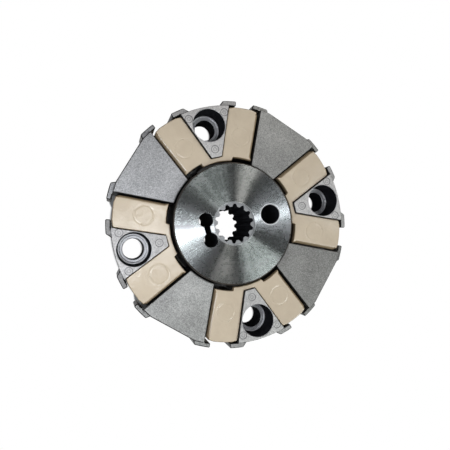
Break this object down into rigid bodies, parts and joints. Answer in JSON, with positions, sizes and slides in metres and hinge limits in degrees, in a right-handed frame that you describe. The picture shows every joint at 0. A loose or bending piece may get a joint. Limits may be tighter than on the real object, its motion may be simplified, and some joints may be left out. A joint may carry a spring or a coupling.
{
  "type": "flexible flange shaft coupling",
  "caption": "Torsionally elastic flange coupling: a splined steel hub and cast inserts held by a moulded elastic star, bolted to a flywheel.",
  "frame": {"origin": "centre of the hub's rear face, on the shaft axis", "axes": "+Z along the shaft axis towards the front face with the counterbores; +X out through the puller hole and one axial insert, with the clamp slot on -X"},
  "size_m": [0.2006, 0.2006, 0.053],
  "materials": {
    "turned_steel": "face turned and ground, bright",
    "black_screw_steel": "black oxide",
    "sleeve_steel": "turned, zinc grey",
    "cream_elastomer": "moulded polyester elastomer, satin",
    "axial_cast_aluminium": "as cast, fine grained",
    "radial_cast_aluminium": "as cast, coarse grained"
  },
  "bodies": {
    "hub_side": {"hub": "turned_steel", "clamp_screw": "black_screw_steel", "radial_insert_1": "radial_cast_aluminium", "radial_insert_2": "radial_cast_aluminium", "radial_insert_3": "radial_cast_aluminium", "radial_insert_4": "radial_cast_aluminium", "radial_sleeve_1": "sleeve_steel", "radial_sleeve_2": "sleeve_steel", "radial_sleeve_3": "sleeve_steel", "radial_sleeve_4": "sleeve_steel", "radial_screw_1": "black_screw_steel", "radial_screw_2": "black_screw_steel", "radial_screw_3": "black_screw_steel", "radial_screw_4": "black_screw_steel"},
    "flywheel_side": {"elastic_element": "cream_elastomer", "axial_insert_1": "axial_cast_aluminium", "axial_insert_2": "axial_cast_aluminium", "axial_insert_3": "axial_cast_aluminium", "axial_insert_4": "axial_cast_aluminium", "axial_sleeve_1": "sleeve_steel", "axial_sleeve_2": "sleeve_steel", "axial_sleeve_3": "sleeve_steel", "axial_sleeve_4": "sleeve_steel"}
  },
  "joints": [
    {"name": "wind_up", "type": "hinge", "parent": "hub_side", "child": "flywheel_side", "pos_m": [0, 0, 0.03], "axis": [0, 0, 1], "range_deg": [-1.5, 1.5], "stiffness_Nm_per_rad": 300, "deforming": ["elastic_element"]}
  ]
}
